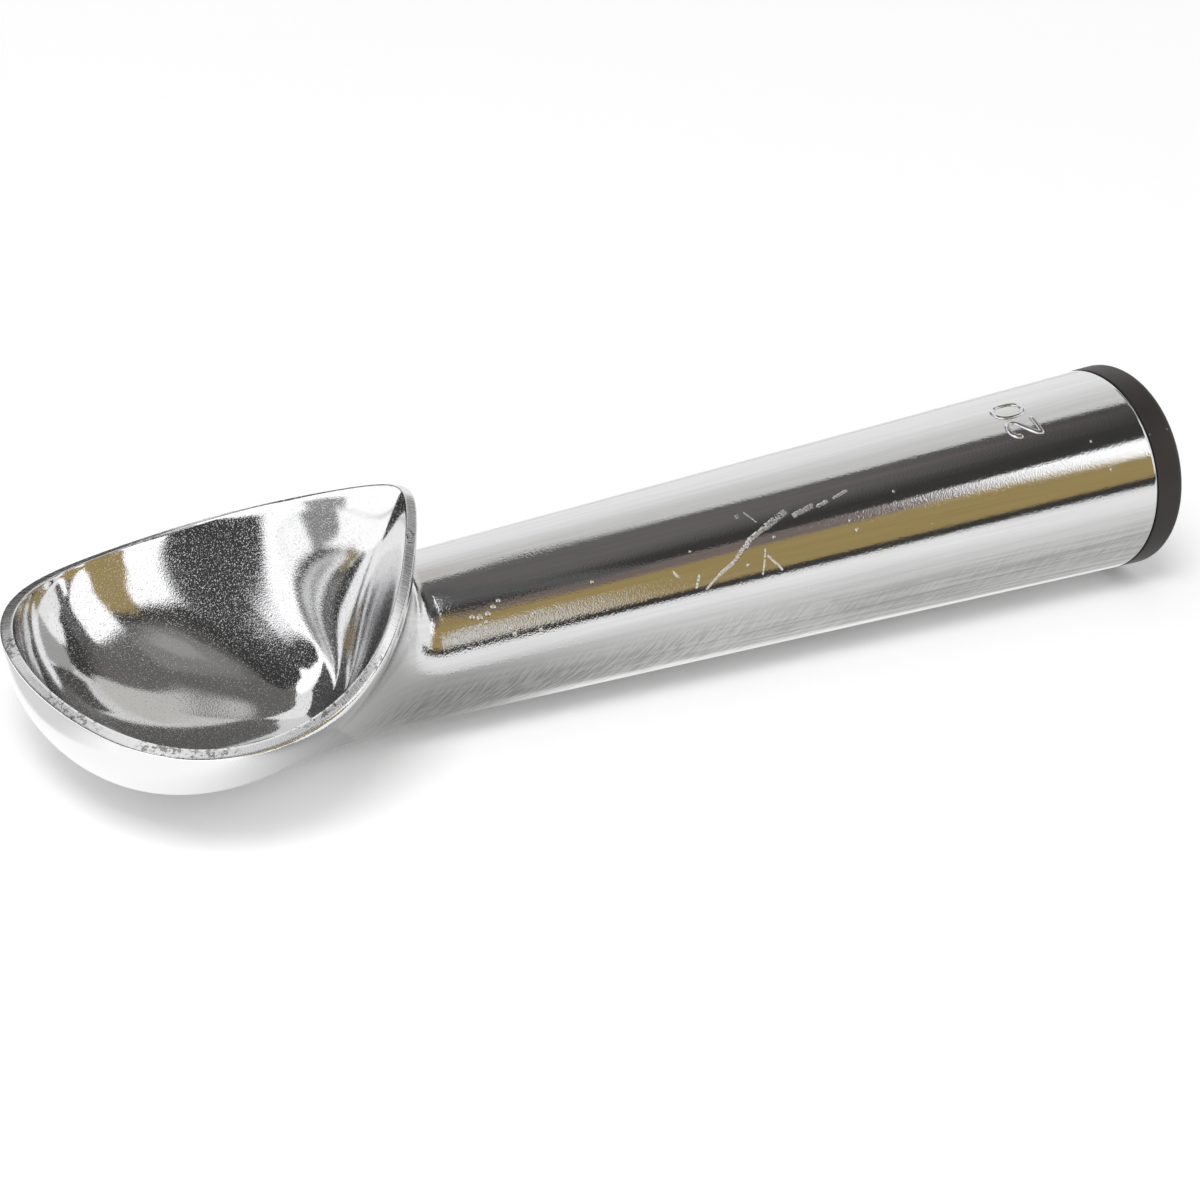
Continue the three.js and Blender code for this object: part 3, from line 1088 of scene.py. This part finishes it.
# far cards have corners by compass angle, from +X toward the front, and height angle, and later ones hang
# nearer; near cards have spots in metres
cards = {
    "whiteFront": {
        "shade": (1.4, 1.4, 1.41),
        "corners": [(40, 41.5), (45.8, 43), (50.8, 34), (49.5, 24), (42, 24), (40, 32)],
    },
    "whiteLeft": {
        "shade": (1.45, 1.45, 1.47),
        "corners": [
            (92, 1), (150, 1), (176, -8), (180, 20), (178, 62), (156, 62), (146, 29), (138, 36),
            (116, 49), (92, 58),
        ],
    },
    "whiteRear": {
        "shade": (1.35, 1.35, 1.36),
        "corners": [(175, -12), (260, -12), (260, 12), (175, 14)],
    },
    "greyRear": {
        "shade": (0.34, 0.34, 0.34),
        "corners": [(174, -9), (186, -9), (187, 4), (177, 5)],
    },
    "rimShade": {
        "shade": (0.08, 0.08, 0.08),
        "corners": [(-181, 15), (-100, 15), (-96, 48), (-175, 48)],
    },
    "backSheet": {
        "shade": (0.96, 0.96, 0.965),
        "faded": (0.68, 0.675, 0.665),
        "fadeFrom": (0, 0, 0.9),
        "fadeTo": (0, 0, 1.8),
        "corners": [
            (-70, -20), (-40, -20), (-36, 30), (-8, 44), (-6, 58), (-24, 63), (-44, 63), (-66, 45),
        ],
    },
    "darkCeiling": {
        "shade": (0.048, 0.047, 0.045),
        "faded": (0.15, 0.146, 0.142),
        "fadeFrom": (0, 0, 1.52),
        "fadeTo": (0, 0, 1.78),
        "edge": [
            (-180, 72), (-140, 74), (-100, 75), (-70, 72), (-50, 62), (-42, 60.5), (-37, 59.2),
            (-26, 60.3), (-19, 58.5), (-17.3, 56.5), (-14.8, 53.8), (-10.2, 52.4), (-9, 50), (-7, 46),
            (0, 42), (20, 41), (36, 41), (42, 41), (46, 42.5), (52, 45), (55, 46.2), (58, 46.5),
            (63, 46), (66, 56), (80, 56), (92, 55), (104, 52), (114, 47), (124, 42), (131, 38),
            (146, 30), (150, 33), (153, 45), (158, 60), (172, 68),
        ],
    },
    "redLine": {
        "shade": (0.21, 0.14, 0.135),
        "corners": [(3.7, 66.5), (5.3, 66.5), (3.8, 55.5), (2.3, 55.5)],
    },
    "darkPanel": {
        "shade": (0.085, 0.083, 0.08),
        "corners": [(-34, 41), (-24, 43), (-14, 46), (-8, 40), (-14, 26), (-32, 31)],
    },
    "greyPanel": {
        "shade": (0.42, 0.415, 0.41),
        "corners": [(-9, 44), (6, 44), (10, 16), (-12, 20)],
    },
    "whitePanel": {
        "shade": (1.1, 1.1, 1.1),
        "corners": [(8, 45), (21, 44), (22, 34), (8, 33)],
    },
    "blackRidge": {
        "shade": (0.055, 0.054, 0.052),
        "corners": [(70, 60), (70, 56), (92, 55), (106, 51), (112, 52), (100, 57), (86, 60)],
    },
    "blackLeft": {
        "shade": (0.05, 0.05, 0.05),
        "corners": [(118, 66), (118, 54), (134, 46), (154, 37), (158, 44), (142, 68)],
    },
    "paleCeiling": {
        "shade": (0.24, 0.236, 0.23),
        "corners": [(62, 66), (84, 61), (104, 58), (114, 60), (104, 70), (70, 76), (46, 74)],
    },
    "paleCore": {
        "shade": (0.37, 0.365, 0.355),
        "corners": [(74, 66), (90, 62), (102, 62), (100, 67), (84, 70)],
    },
    "ochreWall": {
        "shade": (0.385, 0.29, 0.12),
        "corners": [
            (90, 57), (66, 57), (63, 48), (62, 40), (60, 37.2), (57.2, 36.1), (52.6, 34.6),
            (48.2, 33.2), (48.6, 28.5), (47.6, 25.3), (45, 24.3), (45, 7), (75, 7), (98, 26), (99, 44),
            (93, 50),
        ],
    },
    "mauveStrip": {
        "shade": (0.2, 0.165, 0.15),
        "corners": [
            (44.6, 42.2), (51.8, 45.4), (54.4, 46.6), (58, 47), (63, 46), (62, 40), (60, 36.8),
            (57.2, 36), (52.6, 34.5), (49.1, 33.4),
        ],
    },
    "paleNotch": {
        "shade": (0.75, 0.75, 0.74),
        "corners": [(62.5, 27), (63.2, 22), (63.6, 16), (63.8, 7), (70, 7), (70, 20), (66, 27.5)],
    },
    "skirting": {
        "shade": (0.05, 0.048, 0.045),
        "corners": [(30, 1), (95, 1), (95, 7), (30, 7)],
    },
    "rimFlag": {
        "shade": (0.05, 0.048, 0.046),
        "spots": [
            (-0.12, 0.122, 0.001), (-0.022, 0.122, 0.001), (-0.022, 0.122, 0.07), (-0.12, 0.122, 0.07),
        ],
    },
    # mats and streak lie just above the floor and only the metal sees them: a painted reflection of the
    # floor, brighter than it far out, with painted shadow close under the handle and neck and behind the bowl
    "bowlMat": {
        "shade": (1.08, 1.08, 1.08),
        "faded": (0.34, 0.34, 0.34),
        "fadeFrom": (-0.088, 0, 0),
        "fadeTo": (-0.042, 0, 0),
        "height": 0.0006,
        "spots": [(-0.19, -0.12), (-0.03, -0.12), (-0.03, 0.06), (-0.19, 0.06)],
    },
    "leftMat": {
        "shade": (1.1, 1.1, 1.1),
        "faded": (0.75, 0.75, 0.75),
        "fadeFrom": (0, -0.012, 0),
        "fadeTo": (0, 0.012, 0),
        "height": 0.0008,
        "spots": [(-0.19, -0.012), (-0.1, -0.012), (-0.092, 0.02), (-0.085, 0.06), (-0.19, 0.06)],
    },
    "handleMat": {
        "shade": (0.98, 0.98, 0.98),
        "faded": (0.68, 0.68, 0.675),
        "fadeFrom": (0, -0.08, 0),
        "fadeTo": (0, -0.008, 0),
        "height": 0.0005,
        "spots": [(-0.03, -0.3), (0.25, -0.3), (0.25, 0), (-0.03, 0)],
    },
    "rearMat": {
        "shade": (0.45, 0.45, 0.45),
        "faded": (1.1, 1.1, 1.1),
        "fadeFrom": (-0.03, 0, 0),
        "fadeTo": (-0.006, 0, 0),
        "height": 0.0008,
        "spots": [(-0.03, -0.008), (0.25, -0.008), (0.25, 0.12), (-0.03, 0.12)],
    },
    "neckMat": {
        "shade": (0.4, 0.4, 0.395),
        "faded": (0.75, 0.75, 0.745),
        "fadeFrom": (-0.036, 0, 0),
        "fadeTo": (0.02, 0, 0),
        "height": 0.0007,
        "spots": [(-0.045, -0.035), (0.035, -0.035), (0.035, 0), (-0.045, 0)],
    },
    "heelMat": {
        "shade": (1.3, 1.3, 1.3),
        "height": 0.0004,
        "spots": [(-1.2, -0.5), (-0.14, -0.5), (-0.14, 0.5), (-1.2, 0.5)],
    },
    "heelStreak": {
        "shade": (0.3, 0.3, 0.3),
        "height": 0.0007,
        "spots": [
            (-0.2, 0), (-0.24, -0.006), (-0.3, -0.015), (-0.4, -0.03), (-0.55, -0.05), (-2.1, -0.24),
            (-2.1, 0.13), (-0.6, 0.05), (-0.45, 0.045), (-0.34, 0.04), (-0.26, 0.035), (-0.22, 0.02),
        ],
    },
    "lensShade": {
        "shade": (0.055, 0.055, 0.055),
        "spots": [
            (-0.0915, -0.0585, 0.103), (-0.0954, -0.0527, 0.084), (-0.0993, -0.0469, 0.069),
            (-0.1029, -0.0415, 0.0585), (-0.1066, -0.0361, 0.0472), (-0.108, -0.034, 0.0445),
            (-0.1094, -0.0319, 0.042), (-0.1113, -0.0291, 0.0376), (-0.1137, -0.0256, 0.0328),
            (-0.1165, -0.0215, 0.029), (-0.119, -0.0177, 0.0266), (-0.1213, -0.0143, 0.0256),
            (-0.1235, -0.011, 0.0264), (-0.1267, -0.0063, 0.033), (-0.1253, -0.0084, 0.038),
            (-0.1231, -0.0117, 0.042), (-0.1208, -0.015, 0.05), (-0.118, -0.0191, 0.055),
            (-0.1147, -0.0241, 0.057), (-0.1113, -0.0291, 0.0565), (-0.1085, -0.0332, 0.056),
            (-0.1068, -0.0357, 0.058), (-0.1032, -0.0411, 0.0665), (-0.1001, -0.0457, 0.076),
            (-0.0976, -0.0494, 0.086), (-0.0954, -0.0527, 0.104),
        ],
    },
    "nearBeige": {
        "shade": (0.63, 0.615, 0.59),
        "height": 0.12,
        "spots": [
            (-0.033, 0), (-0.027, 0.012), (-0.02, 0.026), (-0.01, 0.044), (0.003, 0.064), (0.018, 0.08),
            (0.024, 0.062), (0.022, 0.04), (0.019, 0.022), (0.008, 0.019), (-0.005, 0.021),
            (-0.016, 0.019), (-0.026, 0.01),
        ],
    },
    "nearWhite": {
        "shade": (1.4, 1.4, 1.42),
        "height": 0.09,
        "spots": [
            (-0.047, -0.021), (-0.04, -0.0155), (-0.032, -0.0095), (-0.027, -0.007), (-0.0245, -0.009),
            (-0.021, -0.016), (-0.015, -0.022), (-0.012, -0.03), (-0.0115, -0.04), (-0.0115, -0.052),
            (-0.0115, -0.066), (-0.012, -0.088), (-0.018, -0.092), (-0.024, -0.078), (-0.03, -0.066),
            (-0.036, -0.056), (-0.0395, -0.045), (-0.0405, -0.036), (-0.046, -0.027),
        ],
    },
    "nearDark": {
        "shade": (0.12, 0.12, 0.12),
        "height": 0.089,
        "spots": [
            (-0.022, -0.004), (-0.012, -0.003), (-0.004, -0.012), (0.004, -0.024), (0.014, -0.036),
            (0.026, -0.046), (0.045, -0.066), (0.035, -0.07), (0.016, -0.055), (0.004, -0.043),
            (-0.006, -0.03), (-0.012, -0.02), (-0.019, -0.013),
        ],
    },
}


def aim(angles, distance):
    compass, height = (math.radians(angle) for angle in angles)
    level = math.cos(height)
    return distance * Vector((math.cos(compass) * level, -math.sin(compass) * level, math.sin(height)))


def cardFinish(name, card):
    material, wire = newMaterial(name)
    shade = (*card["shade"], 1.0)
    if "faded" in card:
        place = wire.add("ShaderNodeTexCoord", None, None, "Object")
        start, end = Vector(card["fadeFrom"]), Vector(card["fadeTo"])
        way = (end - start) / (end - start).length_squared
        along = wire.add("ShaderNodeVectorMath", {"operation": "DOT_PRODUCT"}, {0: place, 1: way}, 1)
        shade = mixShade(wire, step(along - start.dot(way), 0.0, 1.0), card["shade"], card["faded"])
    glow = wire.add("ShaderNodeEmission", None, {"Color": shade, "Strength": 1.0})
    # the floor's own light passes the cards by
    bare = wire.add("ShaderNodeBsdfTransparent")
    scattered = wire.add("ShaderNodeLightPath", None, None, "Diffuse Depth")
    seen = wire.add("ShaderNodeMixShader", None, {0: scattered, 1: glow, 2: bare})
    wire.add("ShaderNodeOutputMaterial", None, {"Surface": seen})
    return material


def hangCard(name, card, bm):
    mesh = bpy.data.meshes.new(name)
    bm.to_mesh(mesh)
    bm.free()
    mesh.materials.append(cardFinish(name, card))
    hung = bpy.data.objects.new(name, mesh)
    scene.collection.objects.link(hung)
    hung.visible_camera = False
    hung.visible_diffuse = False
    hung.visible_shadow = False
    hung.visible_transmission = False


def flatCard(corners, distance):
    bm = bmesh.new()
    face = bm.faces.new([bm.verts.new(aim(corner, distance)) for corner in corners])
    bmesh.ops.triangulate(bm, faces=[face])
    bmesh.ops.subdivide_edges(bm, edges=bm.edges, cuts=studio["cardCuts"], use_grid_fill=True)
    for vert in bm.verts:
        vert.co = vert.co.normalized() * distance
    return bm


def domeCard(edge, distance):
    # from the lower edge up to the top, ring by ring
    bm = bmesh.new()
    lower = [bm.verts.new(aim(corner, distance)) for corner in edge]
    edges = [bm.edges.new(pair) for pair in zip(lower, lower[1:] + lower[:1])]
    top = Vector((0, 0, distance))
    for _ in range(studio["domeRows"]):
        grown = bmesh.ops.extrude_edge_only(bm, edges=edges)["geom"]
        edges = [part for part in grown if isinstance(part, bmesh.types.BMEdge) and part.is_boundary]
        for part in grown:
            if isinstance(part, bmesh.types.BMVert):
                part.co = part.co.lerp(top, studio["domePull"]).normalized() * distance
    bmesh.ops.holes_fill(bm, edges=edges, sides=0)
    return bm


def nearCard(card):
    # lying cards have one height, upright ones a height at each corner
    bm = bmesh.new()
    height = (card["height"],) if "height" in card else ()
    face = bm.faces.new([bm.verts.new((*spot, *height)) for spot in card["spots"]])
    bmesh.ops.triangulate(bm, faces=[face])
    return bm


for cardNumber, (cardName, card) in enumerate(cards.items()):
    distance = studio["cardDistance"] - studio["cardStep"] * cardNumber
    if "edge" in card:
        bm = domeCard(card["edge"], distance)
    elif "spots" in card:
        bm = nearCard(card)
    else:
        bm = flatCard(card["corners"], distance)
    hangCard(cardName, card, bm)
print("studio lit, cards:", len(cards))

scene.view_settings.view_transform = "Standard"
